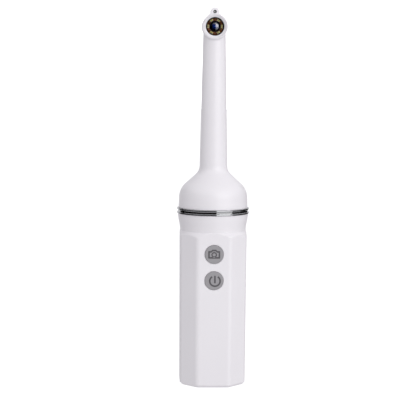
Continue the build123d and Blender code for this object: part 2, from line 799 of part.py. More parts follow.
os.makedirs("parts", exist_ok=True)
for name, piece in pieces.items():
    piece.part.label = name
    export_step(piece.part, f"parts/{name}.step")
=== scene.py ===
from math import atan2, cos, pi, radians, sin

import bmesh
import bpy
from bpy.props import FloatProperty, FloatVectorProperty, PointerProperty
from mathutils import Matrix, Vector


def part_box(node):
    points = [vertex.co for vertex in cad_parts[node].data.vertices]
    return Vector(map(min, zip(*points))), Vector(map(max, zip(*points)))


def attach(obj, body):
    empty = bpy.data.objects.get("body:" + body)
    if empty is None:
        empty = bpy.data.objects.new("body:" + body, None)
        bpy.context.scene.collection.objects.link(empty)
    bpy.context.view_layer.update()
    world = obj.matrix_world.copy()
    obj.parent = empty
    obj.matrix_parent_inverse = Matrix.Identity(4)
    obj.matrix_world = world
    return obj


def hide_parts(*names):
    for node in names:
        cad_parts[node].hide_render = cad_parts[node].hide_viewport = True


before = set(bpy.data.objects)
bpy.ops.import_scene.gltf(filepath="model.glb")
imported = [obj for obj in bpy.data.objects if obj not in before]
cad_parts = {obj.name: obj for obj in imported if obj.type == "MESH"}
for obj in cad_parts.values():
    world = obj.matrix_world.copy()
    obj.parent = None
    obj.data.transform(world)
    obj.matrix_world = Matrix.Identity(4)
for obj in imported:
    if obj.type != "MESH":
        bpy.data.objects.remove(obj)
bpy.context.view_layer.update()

bl_info = {
    "name": "Intraoral Camera",
    "version": (1, 0, 0),
    "blender": (4, 5, 0),
    "location": "View3D > Sidebar > Intraoral",
    "description": "Finishes, signs, small optics and a studio stage for a cordless intraoral camera",
    "category": "Object",
}

MM = 0.001  # one millimetre in the frame's metres

# Sockets of the Mix node when it blends colours: several share a name, so they are picked by number
MIX_FACTOR, MIX_FIRST, MIX_SECOND, MIX_RESULT = 0, 6, 7, 2


def linear(hex_colour):
    """An sRGB hex value as the linear colour that shaders take."""
    channels = [int(hex_colour[i:i + 2], 16) / 255 for i in (0, 2, 4)]
    return tuple(c / 12.92 if c <= 0.04045 else ((c + 0.055) / 1.055) ** 2.4 for c in channels)


def rgba(colour):
    """A linear colour with full opacity, as shader sockets take it."""
    return (*colour, 1.0)


def colour_setting(name, description, hex_colour):
    """A colour that a user can change."""
    return FloatVectorProperty(name=name, description=description, subtype="COLOR", size=3,
                               min=0.0, max=1.0, default=linear(hex_colour))


def length_setting(name, description, millimetres):
    """A length that a user can change."""
    return FloatProperty(name=name, description=description, subtype="DISTANCE", unit="LENGTH",
                         min=0.0, default=millimetres * MM)


class FinishSettings(bpy.types.PropertyGroup):
    """Colours of the visible surfaces"""
    shell: colour_setting("Shell", "White plastic of the handle, wand, head and end cap", "F1EFF2")
    shell_shade: colour_setting("Shell shade", "Duller white where the plastic flowed thin", "EBE8EC")
    button: colour_setting("Button", "Grey rubber of the two push buttons", "A19FA2")
    print_ink: colour_setting("Print", "Dark grey ink of the signs on the buttons", "545255")
    chrome: colour_setting("Ring", "Chrome plating of the ring", "C6C7C9")
    board: colour_setting("Light board", "Amber film of the ring-shaped board round the lens", "A4643E")
    phosphor: colour_setting("Phosphor", "Yellow cast of the small lights when they are off", "F8E880")
    # the lens colour is painted brightest in the middle of the lens and fades to black at its rim as painted
    # shade
    lens: colour_setting("Lens", "Deep blue of the coated front lens", "2A55C8")


class SignSettings(bpy.types.PropertyGroup):
    """Sizes of the printed signs"""
    stroke: length_setting("Stroke", "Width of the printed lines", 0.85)
    camera_width: length_setting("Camera width", "Outside width of the camera sign", 6.3)
    camera_height: length_setting("Camera height", "Outside height of the camera sign without its hump", 4.0)
    hump_height: length_setting("Hump height", "How far the hump stands above the sign", 0.75)
    lens_radius: length_setting("Lens radius", "Outside radius of the ring in the camera sign", 1.5)
    power_radius: length_setting("Power radius", "Outside radius of the power sign's ring", 3.15)
    ink: length_setting("Ink", "Thickness of the printed ink", 0.03)


class StageSettings(bpy.types.PropertyGroup):
    """Camera, floor and light"""
    lens: FloatProperty(name="Lens", description="Focal length of the camera in millimetres",
                        default=118.24, min=1.0)
    distance: length_setting("Distance", "From the object's axis to the camera", 700.0)
    eye_height: length_setting("Eye height", "Height of the camera above the floor", 164.0)
    key_power: FloatProperty(name="Key light", default=7.5, min=0.0,
                             description="Power of the large light at the front right, in watts")
    ambient_high: FloatProperty(name="Ambient above", description="Strength of the soft light from above",
                                default=0.76, min=0.0)
    ambient_low: FloatProperty(name="Ambient below", description="Strength of the soft light from below",
                               default=0.66, min=0.0)


# Node helpers

def add_node(tree, kind, values=None, links=None, feeds=None, **settings):
    """Adds a node with its own settings and input values, and links it.

    links names the output that each of its inputs takes, and feeds the socket that each of its
    outputs goes to.
    """
    node = tree.nodes.new(kind)
    for name, value in settings.items():
        setattr(node, name, value)
    for socket, value in (values or {}).items():
        node.inputs[socket].default_value = value
    for socket, source in (links or {}).items():
        tree.links.new(source, node.inputs[socket])
    for output, target in (feeds or {}).items():
        tree.links.new(node.outputs[output], target)
    return node


def start_material(name, colour, roughness, metallic=0.0, **sockets):
    """A material with its Principled shader's own sockets set. Returns the material, tree and shader."""
    material = bpy.data.materials.new(name)
    material.use_nodes = True
    material.diffuse_color = rgba(colour)
    tree = material.node_tree
    shader = tree.nodes["Principled BSDF"]
    shader.inputs["Base Color"].default_value = rgba(colour)
    shader.inputs["Roughness"].default_value = roughness
    shader.inputs["Metallic"].default_value = metallic
    for name, value in sockets.items():
        shader.inputs[name.replace("_", " ")].default_value = value
    return material, tree, shader


def grain(tree, shader, size_mm, depth_mm, stretch=(1.0, 1.0, 1.0), detail=2.0):
    """Raises the surface by a fine noise of a real grain size and depth. Returns the noise."""
    place = add_node(tree, "ShaderNodeTexCoord")
    scaled = add_node(tree, "ShaderNodeMapping", {"Scale": stretch}, {"Vector": place.outputs["Object"]})
    noise = add_node(tree, "ShaderNodeTexNoise", {"Scale": 1 / (size_mm * MM), "Detail": detail},
                     {"Vector": scaled.outputs["Vector"]})
    add_node(tree, "ShaderNodeBump", {"Strength": 1.0, "Distance": depth_mm * MM},
             {"Height": noise.outputs["Fac"]}, {"Normal": shader.inputs["Normal"]})
    return noise


# Materials

def moulded_white_abs():
    """ABS, injection moulded in a finely spark-eroded mould: a satin skin with soft, wide highlights.

    The real texture is about 0.05 mm, too fine to show, so it is drawn ten times as coarse.
    """
    look = bpy.context.scene.intraoral_finish
    material, tree, shader = start_material("moulded_white_abs", look.shell, 0.36, IOR=1.53)
    noise = grain(tree, shader, size_mm=0.5, depth_mm=0.0012)
    add_node(tree, "ShaderNodeMapRange", {"To Min": 0.32, "To Max": 0.4},
             {"Value": noise.outputs["Fac"]}, {"Result": shader.inputs["Roughness"]})
    flow_mm = 40  # how far the plastic flows before its white changes
    place = add_node(tree, "ShaderNodeTexCoord")
    cloud = add_node(tree, "ShaderNodeTexNoise", {"Scale": 1 / (flow_mm * MM), "Detail": 1.0},
                     {"Vector": place.outputs["Object"]})
    add_node(tree, "ShaderNodeMix", {MIX_FIRST: rgba(look.shell), MIX_SECOND: rgba(look.shell_shade)},
             {MIX_FACTOR: cloud.outputs["Fac"]}, {MIX_RESULT: shader.inputs["Base Color"]},
             data_type="RGBA")
    return material


def plated_chrome():
    """Nickel and chrome plated on a turned ring and buffed: a mirror with faint marks round the ring."""
    look = bpy.context.scene.intraoral_finish
    material, tree, shader = start_material("plated_chrome", look.chrome, 0.05, 1.0)
    noise = grain(tree, shader, size_mm=2.0, depth_mm=0.0006, stretch=(1.0, 1.0, 6.0))
    add_node(tree, "ShaderNodeMapRange", {"To Min": 0.03, "To Max": 0.08},
             {"Value": noise.outputs["Fac"]}, {"Result": shader.inputs["Roughness"]})
    return material


def moulded_grey_silicone():
    """Silicone rubber, compression moulded: a dull grey skin with a soft edge to its highlights."""
    look = bpy.context.scene.intraoral_finish
    material, tree, shader = start_material("moulded_grey_silicone", look.button, 0.55, IOR=1.43)
    noise = grain(tree, shader, size_mm=0.3, depth_mm=0.002)
    add_node(tree, "ShaderNodeMapRange", {"To Min": 0.48, "To Max": 0.62},
             {"Value": noise.outputs["Fac"]}, {"Result": shader.inputs["Roughness"]})
    darker = [c * 0.9 for c in look.button]
    add_node(tree, "ShaderNodeMix", {MIX_FIRST: rgba(look.button), MIX_SECOND: rgba(darker)},
             {MIX_FACTOR: noise.outputs["Fac"]}, {MIX_RESULT: shader.inputs["Base Color"]},
             data_type="RGBA")
    return material


def pad_printed_ink():
    """Ink, pad printed: flat dark grey with a slightly uneven cover."""
    look = bpy.context.scene.intraoral_finish
    material, tree, shader = start_material("pad_printed_ink", look.print_ink, 0.6)
    noise = grain(tree, shader, size_mm=0.25, depth_mm=0.001)
    lighter = [c * 1.25 for c in look.print_ink]
    add_node(tree, "ShaderNodeMix", {MIX_FIRST: rgba(look.print_ink), MIX_SECOND: rgba(lighter)},
             {MIX_FACTOR: noise.outputs["Fac"]}, {MIX_RESULT: shader.inputs["Base Color"]},
             data_type="RGBA")
    return material


def polished_acrylic():
    """Acrylic, cast and polished with a hard coat: clear, with a thin sharp reflection."""
    material, tree, shader = start_material("polished_acrylic", linear("FBFCFF"), 0.0, IOR=1.49,
                                            Transmission_Weight=1.0)
    haze_mm = 3  # size of the faint cloudy spots that wiping leaves
    place = add_node(tree, "ShaderNodeTexCoord")
    haze = add_node(tree, "ShaderNodeTexNoise", {"Scale": 1 / (haze_mm * MM), "Detail": 2.0},
                    {"Vector": place.outputs["Object"]})
    add_node(tree, "ShaderNodeMapRange", {"To Min": 0.0, "To Max": 0.02},
             {"Value": haze.outputs["Fac"]}, {"Result": shader.inputs["Roughness"]})
    return material


def moulded_black_rubber():
    """EPDM rubber, moulded: deep black that hardly shines."""
    material, tree, shader = start_material("moulded_black_rubber", linear("141416"), 0.75, IOR=1.5)
    noise = grain(tree, shader, size_mm=0.2, depth_mm=0.003)
    add_node(tree, "ShaderNodeMapRange", {"To Min": 0.65, "To Max": 0.85},
             {"Value": noise.outputs["Fac"]}, {"Result": shader.inputs["Roughness"]})
    return material


def amber_polyimide_board():
    """Polyimide board film over copper: amber and glossy, browner where the copper lies under it."""
    look = bpy.context.scene.intraoral_finish
    material, tree, shader = start_material("amber_polyimide_board", look.board, 0.25, IOR=1.7)
    copper_mm = 0.9  # from one patch of copper to the next
    place = add_node(tree, "ShaderNodeTexCoord")
    cells = add_node(tree, "ShaderNodeTexVoronoi", {"Scale": 1 / (copper_mm * MM)},
                     {"Vector": place.outputs["Object"]}, feature="F1")
    darker = [c * 0.35 for c in look.board]
    add_node(tree, "ShaderNodeMix", {MIX_FIRST: rgba(look.board), MIX_SECOND: rgba(darker)},
             {MIX_FACTOR: cells.outputs["Distance"]}, {MIX_RESULT: shader.inputs["Base Color"]},
             data_type="RGBA")
    return material


def cast_yellow_phosphor():
    """Phosphor in silicone, cast over the chip: a dull, slightly grainy yellow with a wet skin."""
    look = bpy.context.scene.intraoral_finish
    material, tree, shader = start_material("cast_yellow_phosphor", look.phosphor, 0.3, IOR=1.41,
                                            Coat_Weight=0.5, Coat_Roughness=0.1)
    noise = grain(tree, shader, size_mm=0.08, depth_mm=0.001)
    duller = [c * 0.8 for c in look.phosphor]
    add_node(tree, "ShaderNodeMix", {MIX_FIRST: rgba(look.phosphor), MIX_SECOND: rgba(duller)},
             {MIX_FACTOR: noise.outputs["Fac"]}, {MIX_RESULT: shader.inputs["Base Color"]},
             data_type="RGBA")
    return material


def pressed_white_ceramic():
    """Alumina, pressed and fired: the matt cream body of a small light."""
    material, tree, shader = start_material("pressed_white_ceramic", linear("F0E9C4"), 0.5, IOR=1.76)
    noise = grain(tree, shader, size_mm=0.1, depth_mm=0.001)
    add_node(tree, "ShaderNodeMapRange", {"To Min": 0.42, "To Max": 0.58},
             {"Value": noise.outputs["Fac"]}, {"Result": shader.inputs["Roughness"]})
    return material


def anodised_black_aluminium():
    """Aluminium, turned and anodised black: fine lathe rings and a dark sheen.

    A real lathe feed of 0.15 mm is too fine to show, so the rings are drawn 0.28 mm apart.
    """
    material, tree, shader = start_material("anodised_black_aluminium", linear("08080A"), 0.38, 0.6)
    place = add_node(tree, "ShaderNodeTexCoord")
    wave_mm = 0.9  # the wave texture draws about three rings in this length
    rings = add_node(tree, "ShaderNodeTexWave", {"Scale": 1 / (wave_mm * MM), "Distortion": 0.3},
                     {"Vector": place.outputs["Object"]}, wave_type="BANDS", bands_direction="Y")
    ring_depth_mm = 0.003
    add_node(tree, "ShaderNodeBump", {"Strength": 0.6, "Distance": ring_depth_mm * MM},
             {"Height": rings.outputs["Fac"]}, {"Normal": shader.inputs["Normal"]})
    return material


def coated_lens_glass():
    """Optical glass, ground, polished and coated. Its colour is painted light: blue in the middle as painted
    depth, falling off to black at the rim as painted shade.
    """
    look = bpy.context.scene.intraoral_finish
    low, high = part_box("front_lens")
    middle = (low + high) / 2
    radius = (high.x - low.x) / 2
    material, tree, shader = start_material("coated_lens_glass", look.lens, 0.02, IOR=1.85,
                                            Coat_Weight=1.0, Coat_Roughness=0.01, Coat_IOR=2.4)
    place = add_node(tree, "ShaderNodeTexCoord")
    centred = add_node(tree, "ShaderNodeMapping", {"Location": [-c / radius for c in middle],
                                                   "Scale": [1 / radius] * 3},
                       {"Vector": place.outputs["Object"]})
    painted_depth_mask = add_node(tree, "ShaderNodeTexGradient", links={"Vector": centred.outputs["Vector"]},
                    gradient_type="SPHERICAL")
    # painted depth and shade: the lens blue is painted brightest in the middle and fades to near black at
    # the rim
    add_node(tree, "ShaderNodeMix", {MIX_FIRST: rgba(linear("020206")), MIX_SECOND: rgba(look.lens)},
             {MIX_FACTOR: painted_depth_mask.outputs["Fac"]}, {MIX_RESULT: shader.inputs["Base Color"]},
             data_type="RGBA")
    return material


def green_solder_mask():
    """Glass-fibre board under green solder mask: tracks show as lighter lines under the lacquer."""
    material, tree, shader = start_material("green_solder_mask", linear("0F5A34"), 0.3, IOR=1.55)
    block_mm = 12  # one block of tracks
    place = add_node(tree, "ShaderNodeTexCoord")
    add_node(tree, "ShaderNodeTexBrick",
             {"Color1": rgba(linear("0F5A34")), "Color2": rgba(linear("137042")),
              "Mortar": rgba(linear("2C9A62")), "Scale": 1 / (block_mm * MM),
              "Mortar Size": 0.012, "Brick Width": 0.4, "Row Height": 0.12},
             {"Vector": place.outputs["Object"]}, {"Color": shader.inputs["Base Color"]})
    grain(tree, shader, size_mm=0.6, depth_mm=0.004)
    return material


def moulded_black_epoxy():
    """Epoxy, transfer moulded: the matt black of chips and switches, with a faint sparkle of filler."""
    material, tree, shader = start_material("moulded_black_epoxy", linear("1B1B1D"), 0.6, IOR=1.55)
    noise = grain(tree, shader, size_mm=0.15, depth_mm=0.004)
    add_node(tree, "ShaderNodeMix", {MIX_FIRST: rgba(linear("151517")), MIX_SECOND: rgba(linear("242426"))},
             {MIX_FACTOR: noise.outputs["Fac"]}, {MIX_RESULT: shader.inputs["Base Color"]},
             data_type="RGBA")
    return material


def tinned_steel_can():
    """Tin-plated steel, drawn: a bright can with long soft rolling marks."""
    material, tree, shader = start_material("tinned_steel_can", linear("BFC0C2"), 0.3, 1.0)
    noise = grain(tree, shader, size_mm=1.2, depth_mm=0.002, stretch=(1.0, 1.0, 0.1))
    add_node(tree, "ShaderNodeMapRange", {"To Min": 0.22, "To Max": 0.4},
             {"Value": noise.outputs["Fac"]}, {"Result": shader.inputs["Roughness"]})
    return material


def gold_plated_contact():
    """Gold, plated over nickel: warm and bright, slightly dulled by use."""
    material, tree, shader = start_material("gold_plated_contact", linear("E0B45A"), 0.25, 1.0)
    noise = grain(tree, shader, size_mm=0.3, depth_mm=0.001)
    add_node(tree, "ShaderNodeMapRange", {"To Min": 0.18, "To Max": 0.34},
             {"Value": noise.outputs["Fac"]}, {"Result": shader.inputs["Roughness"]})
    return material


def copper_polyimide_film():
    """Polyimide flat cable, laminated: amber film with copper tracks 0.5 mm apart that run its length."""
    material, tree, shader = start_material("copper_polyimide_film", linear("A8681C"), 0.3, IOR=1.7)
    track_mm = 0.5
    wave_radians = 20  # how far the wave texture turns in one unit at scale 1
    place = add_node(tree, "ShaderNodeTexCoord")
    tracks = add_node(tree, "ShaderNodeTexWave", {"Scale": 2 * pi / (wave_radians * track_mm * MM)},
                      {"Vector": place.outputs["Object"]}, wave_type="BANDS", bands_direction="X")
    add_node(tree, "ShaderNodeMix", {MIX_FIRST: rgba(linear("8A4A12")), MIX_SECOND: rgba(linear("C98A34"))},
             {MIX_FACTOR: tracks.outputs["Fac"]}, {MIX_RESULT: shader.inputs["Base Color"]},
             data_type="RGBA")
    grain(tree, shader, size_mm=1.0, depth_mm=0.003)
    return material


def shrunk_pvc_sleeve():
    """PVC film, shrunk round the cell: glossy blue with slight waves from the heat."""
    material, tree, shader = start_material("shrunk_pvc_sleeve", linear("1F4FA8"), 0.18, IOR=1.53)
    noise = grain(tree, shader, size_mm=4.0, depth_mm=0.03)
    add_node(tree, "ShaderNodeMix", {MIX_FIRST: rgba(linear("1B489C")), MIX_SECOND: rgba(linear("2558B4"))},
             {MIX_FACTOR: noise.outputs["Fac"]}, {MIX_RESULT: shader.inputs["Base Color"]},
             data_type="RGBA")
    return material


def stamped_nickel_strip():
    """Nickel strip, stamped: soft grey metal with the dimples of its spot welds."""
    material, tree, shader = start_material("stamped_nickel_strip", linear("BDB8A8"), 0.35, 1.0)
    weld_mm, dimple_depth_mm = 1.5, 0.03
    place = add_node(tree, "ShaderNodeTexCoord")
    dimples = add_node(tree, "ShaderNodeTexVoronoi", {"Scale": 1 / (weld_mm * MM), "Randomness": 0.2},
                       {"Vector": place.outputs["Object"]}, feature="SMOOTH_F1")
    add_node(tree, "ShaderNodeBump", {"Strength": 0.8, "Distance": dimple_depth_mm * MM},
             {"Height": dimples.outputs["Distance"]}, {"Normal": shader.inputs["Normal"]})
    return material


def moulded_grey_polycarbonate():
    """Glass-filled polycarbonate, injection moulded: matt grey with faint flow lines."""
    material, tree, shader = start_material("moulded_grey_polycarbonate", linear("57575A"), 0.55, IOR=1.58)
    noise = grain(tree, shader, size_mm=1.5, depth_mm=0.006, stretch=(1.0, 1.0, 0.3))
    add_node(tree, "ShaderNodeMix", {MIX_FIRST: rgba(linear("4E4E51")), MIX_SECOND: rgba(linear("626265"))},
             {MIX_FACTOR: noise.outputs["Fac"]}, {MIX_RESULT: shader.inputs["Base Color"]},
             data_type="RGBA")
    return material


def zinc_plated_steel():
    """Steel, cold headed and zinc plated: a bluish bright skin with fine turning marks."""
    material, tree, shader = start_material("zinc_plated_steel", linear("B4B8BE"), 0.3, 1.0)
    noise = grain(tree, shader, size_mm=0.3, depth_mm=0.003)
    add_node(tree, "ShaderNodeMapRange", {"To Min": 0.22, "To Max": 0.42},
             {"Value": noise.outputs["Fac"]}, {"Result": shader.inputs["Roughness"]})
    return material


def dress(material, *nodes):
    """Gives CAD nodes a material in place of the one that they came with."""
    for node in nodes:
        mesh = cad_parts[node].data
        mesh.materials.clear()
        mesh.materials.append(material)


# Mesh helpers

def new_piece(name, mesh, material, body):
    """Links a mesh as a piece of the object that rides on a body."""
    mesh.materials.clear()
    mesh.materials.append(material)
    piece = bpy.data.objects.new(name, mesh)
    bpy.context.scene.collection.objects.link(piece)
    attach(piece, body)
    return piece


def mesh_of(name, bm, smooth=True):
    """Turns a bmesh into a mesh with outward faces."""
    bmesh.ops.remove_doubles(bm, verts=bm.verts, dist=1e-7)
    bmesh.ops.recalc_face_normals(bm, faces=bm.faces)
    mesh = bpy.data.meshes.new(name)
    for face in bm.faces:
        face.smooth = smooth
    bm.to_mesh(mesh)
    bm.free()
    return mesh


def arc(centre, radius, start, end, steps):
    """Points along an arc, angles in degrees from +X towards +Z, both ends included."""
    angles = [radians(start + (end - start) * i / steps) for i in range(steps + 1)]
    return [(centre[0] + radius * cos(a), centre[1] + radius * sin(a)) for a in angles]


def circle(centre, radius, steps):
    """A closed round outline."""
    return arc(centre, radius, 0, 360, steps)[:-1]


def rounded(corners, radius, steps=5):
    """A closed outline through corners, each rounded to a radius."""
    points = []
    for i, corner in enumerate(corners):
        here = Vector(corner)
        back = (Vector(corners[i - 1]) - here).normalized()
        ahead = (Vector(corners[(i + 1) % len(corners)]) - here).normalized()
        half = back.angle(ahead) / 2
        reach = radius / sin(half) * cos(half)
        middle = here + (back + ahead).normalized() * radius / sin(half)
        first, last = here + back * reach - middle, here + ahead * reach - middle
        start = atan2(first.y, first.x)
        sweep = (atan2(last.y, last.x) - start + pi) % (2 * pi) - pi
        for step in range(steps + 1):
            a = start + sweep * step / steps
            points.append((middle.x + radius * cos(a), middle.y + radius * sin(a)))
    return points


def front_plate(name, loops, face_y, thickness):
    """A flat plate that looks out of the front, cut from closed outlines of (x, z); inner ones are holes.

    The outlines are filled in millimetres, because the filling loses its way in points set too close.
    """
    curve = bpy.data.curves.new(name, "CURVE")
    curve.dimensions = "2D"
    curve.fill_mode = "BOTH"
    curve.extrude = thickness / 2 / MM
    for loop in loops:
        spline = curve.splines.new("POLY")
        spline.points.add(len(loop) - 1)
        for point, (x, z) in zip(spline.points, loop):
            point.co = (x / MM, z / MM, 0.0, 1.0)
        spline.use_cyclic_u = True
    carrier = bpy.data.objects.new(name, curve)
    mesh = bpy.data.meshes.new_from_object(carrier)
    bpy.data.objects.remove(carrier)
    bpy.data.curves.remove(curve)
    place = Matrix.Translation((0.0, face_y - thickness / 2, 0.0)) @ Matrix.Rotation(radians(90), 4, "X")
    mesh.transform(place @ Matrix.Scale(MM, 4))
    mesh.name = name
    return mesh


def centre_of(node):
    """Middle of a CAD node's box."""
    low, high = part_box(node)
    return (low + high) / 2


# Printed signs

def camera_sign_loops(centre, sizes):
    """Outlines of the camera sign: the body with its hump as a line, and the ring of its lens."""
    hump_share, foot_share = 0.16, 0.26  # half widths of the hump at its top and foot, of the sign's
    outer_round, inner_round = 0.35 * MM, 0.12 * MM
    line = sizes.stroke
    slant = 0.3 * line  # the line's inner edge moves this far in where the hump slopes
    eye_line = 0.8 * line  # the ring is drawn a little thinner
    x, z = centre
    half = sizes.camera_width / 2
    base = z - (sizes.camera_height + sizes.hump_height) / 2
    shoulder = base + sizes.camera_height
    top = shoulder + sizes.hump_height
    hump, foot = hump_share * sizes.camera_width, foot_share * sizes.camera_width
    outer = [(x - half, base), (x + half, base), (x + half, shoulder), (x + foot, shoulder),
             (x + hump, top), (x - hump, top), (x - foot, shoulder), (x - half, shoulder)]
    inner = [(x - half + line, base + line), (x + half - line, base + line),
             (x + half - line, shoulder - line), (x + foot - slant, shoulder - line),
             (x + hump - slant, top - line), (x - hump + slant, top - line),
             (x - foot + slant, shoulder - line), (x - half + line, shoulder - line)]
    eye = (x, base + sizes.camera_height / 2)
    ring = circle(eye, sizes.lens_radius, 40)
    hole = circle(eye, sizes.lens_radius - eye_line, 32)
    return [rounded(outer, outer_round), rounded(inner, inner_round), ring, hole]


def power_sign_loops(centre, sizes):
    """Outlines of the power sign: a ring that is open at the top and a bar in the opening."""
    bar_up, bar_down = 0.9, 0.38  # how far the bar reaches from the middle, of the ring's radius
    bar_round = 0.2 * MM
    open_half = 33  # degrees from the top to each end of the ring
    x, z = centre
    outside, inside = sizes.power_radius, sizes.power_radius - sizes.stroke
    ring = (arc((x, z), outside, 90 + open_half, 450 - open_half, 60)
            + arc((x, z), inside, 450 - open_half, 90 + open_half, 60))
    half = sizes.stroke / 2
    top, foot = z + bar_up * sizes.power_radius, z - bar_down * sizes.power_radius
    bar = [(x - half, foot), (x + half, foot), (x + half, top), (x - half, top)]
    return [ring, rounded(bar, bar_round)]


# Operators

class INTRAORAL_OT_white_shell(bpy.types.Operator):
    """Finishes the white mouldings: handle, wand with its head, bezel, neck collar and end cap"""
    bl_idname = "intraoral.white_shell"
    bl_label = "White Mouldings"

    def execute(self, context):
        dress(moulded_white_abs(), "wand_shell", "head_bezel", "neck_collar", "handle_shell", "end_cap")
        return {"FINISHED"}


class INTRAORAL_OT_bright_ring(bpy.types.Operator):
    """Finishes the bright ring, the rubber seals and the bush of the lug"""
    bl_idname = "intraoral.bright_ring"
    bl_label = "Bright Ring and Seals"

    def execute(self, context):
        dress(plated_chrome(), "chrome_ring")
        dress(moulded_black_rubber(), "neck_seal", "window_gasket", "end_cap_seal", "lug_bush")
        return {"FINISHED"}


class INTRAORAL_OT_buttons(bpy.types.Operator):
    """Finishes the two push buttons and prints their signs"""
    bl_idname = "intraoral.buttons"
    bl_label = "Buttons and Signs"

    def execute(self, context):
        sizes = context.scene.intraoral_signs
        dress(moulded_grey_silicone(), "photo_button", "power_button")
        ink = pad_printed_ink()
        # the signs are printed a little off the middle: millimetres to the right, then down
        for button, sign, body, loops_of, side, drop in (
                ("photo_button", "photo_sign", "photo_key", camera_sign_loops, 0.0, -0.25),
                ("power_button", "power_sign", "power_key", power_sign_loops, 0.5, 0.1)):
            face_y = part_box(button)[0].y
            middle = centre_of(button)
            loops = loops_of((middle.x + side * MM, middle.z - drop * MM), sizes)
            mesh = front_plate(sign, loops, face_y + sizes.ink / 2, sizes.ink)
            new_piece(sign, mesh, ink, body)
        return {"FINISHED"}


class INTRAORAL_OT_lit_head(bpy.types.Operator):
    """Finishes the window and the lights, and adds phosphor, solder pads and the board's black band"""
    bl_idname = "intraoral.lit_head"
    bl_label = "Lit Head"

    def phosphor(self, name, centre, turn, width, depth, face_y):
        """A soft rectangular cushion of phosphor on the face of a light."""
        rise, sunk = 0.1 * MM, 0.05 * MM
        steps = 12
        bm = bmesh.new()
        rows = []
        for i in range(steps + 1):
            u = 2 * i / steps - 1
            row = []
            for j in range(steps + 1):
                v = 2 * j / steps - 1
                height = rise * (1 - u**4) * (1 - v**4)
                across, along = u * depth / 2, v * width / 2
                x = centre.x + across * cos(turn) - along * sin(turn)
                z = centre.z + across * sin(turn) + along * cos(turn)
                row.append(bm.verts.new((x, face_y - height, z)))
            rows.append(row)
        for i in range(steps):
            for j in range(steps):
                bm.faces.new((rows[i][j], rows[i + 1][j], rows[i + 1][j + 1], rows[i][j + 1]))
        rim = [edge for edge in bm.edges if edge.is_boundary]
        walls = bmesh.ops.extrude_edge_only(bm, edges=rim)["geom"]
        for vert in [g for g in walls if isinstance(g, bmesh.types.BMVert)]:
            vert.co.y = face_y + sunk
        bmesh.ops.contextual_create(bm, geom=[e for e in bm.edges if e.is_boundary])
        return mesh_of(name, bm)

    def execute(self, context):
        dress(polished_acrylic(), "head_window")
        dress(amber_polyimide_board(), "led_board")
        cushion_width, cushion_depth = 0.78, 0.66  # of the light's own
        pad_share, pad_half, pad_gap = 0.36, 0.14 * MM, 0.12 * MM
        pad_thickness, band_thickness = 0.06 * MM, 0.04 * MM
        band_reaches = 0.55, 0.03  # millimetres from the barrel to the band's outer and inner edge
        ceramic, phosphor, gold = pressed_white_ceramic(), cast_yellow_phosphor(), gold_plated_contact()
        centre = centre_of("led_board")
        board_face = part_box("led_board")[0].y
        lights = sorted(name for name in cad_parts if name.startswith("led_") and name != "led_board")
        low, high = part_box("led_1")
        depth, width = high.x - low.x, high.z - low.z
        pads = []
        for name in lights:
            dress(ceramic, name)
            middle = centre_of(name)
            arm = Vector((middle.x - centre.x, middle.z - centre.z))
            turn = Vector((1.0, 0.0)).angle_signed(arm) * -1
            mesh = self.phosphor(f"{name}_phosphor", middle, turn, cushion_width * width,
                                 cushion_depth * depth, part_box(name)[0].y)
            new_piece(f"{name}_phosphor", mesh, phosphor, "camera")
            for side in (-1, 1):
                reach = side * (width / 2 + pad_gap)
                pad = [(u * pad_share * depth, reach + v * pad_half)
                       for u, v in ((-1, -1), (1, -1), (1, 1), (-1, 1))]
                pads.append([(middle.x + u * cos(turn) - v * sin(turn),
                              middle.z + u * sin(turn) + v * cos(turn)) for u, v in pad])
        barrel_low, barrel_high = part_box("lens_barrel")
        barrel_radius = (barrel_high.x - barrel_low.x) / 2
        band = [circle((centre.x, centre.z), barrel_radius + reach * MM, 64) for reach in band_reaches]
        mesh = front_plate("board_black_band", band, board_face, band_thickness)
        rubber = bpy.data.materials["moulded_black_rubber"]
        new_piece("board_black_band", mesh, rubber, "camera")
        mesh = front_plate("led_solder_pads", pads, board_face, pad_thickness)
        new_piece("led_solder_pads", mesh, gold, "camera")
        return {"FINISHED"}


class INTRAORAL_OT_lens(bpy.types.Operator):
    """Finishes the front lens, its barrel and the holder behind it"""
    bl_idname = "intraoral.lens"
    bl_label = "Lens and Barrel"

    def execute(self, context):
        dress(anodised_black_aluminium(), "lens_barrel", "lens_holder")
        dress(coated_lens_glass(), "front_lens")
        return {"FINISHED"}


class INTRAORAL_OT_electronics(bpy.types.Operator):
    """Finishes the boards, chips, switches, cable and charging socket, and adds the socket's contacts"""
    bl_idname = "intraoral.electronics"
    bl_label = "Electronics"

    def contacts(self):
        """Two rows of contact fingers on the tongue of the charging socket."""
        low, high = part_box("charge_socket")
        middle_y = (low.y + high.y) / 2
        count, pitch, width = 12, 0.5 * MM, 0.26 * MM
        tongue, thickness = 0.35 * MM, 0.04 * MM
        first, last, edge = 0.4 * MM, 4.6 * MM, 0.015 * MM
        front, back = low.z + first, low.z + last
        bm = bmesh.new()
        for side in (-1, 1):
            for index in range(count):
                x = (index - (count - 1) / 2) * pitch
                box = Matrix.Translation((x, middle_y + side * (tongue + thickness / 2), (front + back) / 2))
                size = Matrix.Diagonal((width, thickness, back - front, 1.0))
                bmesh.ops.create_cube(bm, size=1.0, matrix=box @ size)
        bmesh.ops.bevel(bm, geom=bm.edges[:], offset=edge, segments=1, affect="EDGES")
        return mesh_of("charge_contacts", bm, smooth=False)

    def execute(self, context):
        dress(green_solder_mask(), "main_board", "sensor_board")
        dress(moulded_black_epoxy(), "image_sensor", "sensor_connector", "photo_switch", "power_switch",
              "photo_plunger", "power_plunger", "board_connector", "image_processor")
        dress(tinned_steel_can(), "wifi_module", "charge_socket")
        dress(copper_polyimide_film(), "flex_cable")
        gold = bpy.data.materials["gold_plated_contact"]
        new_piece("charge_contacts", self.contacts(), gold, "camera")
        return {"FINISHED"}


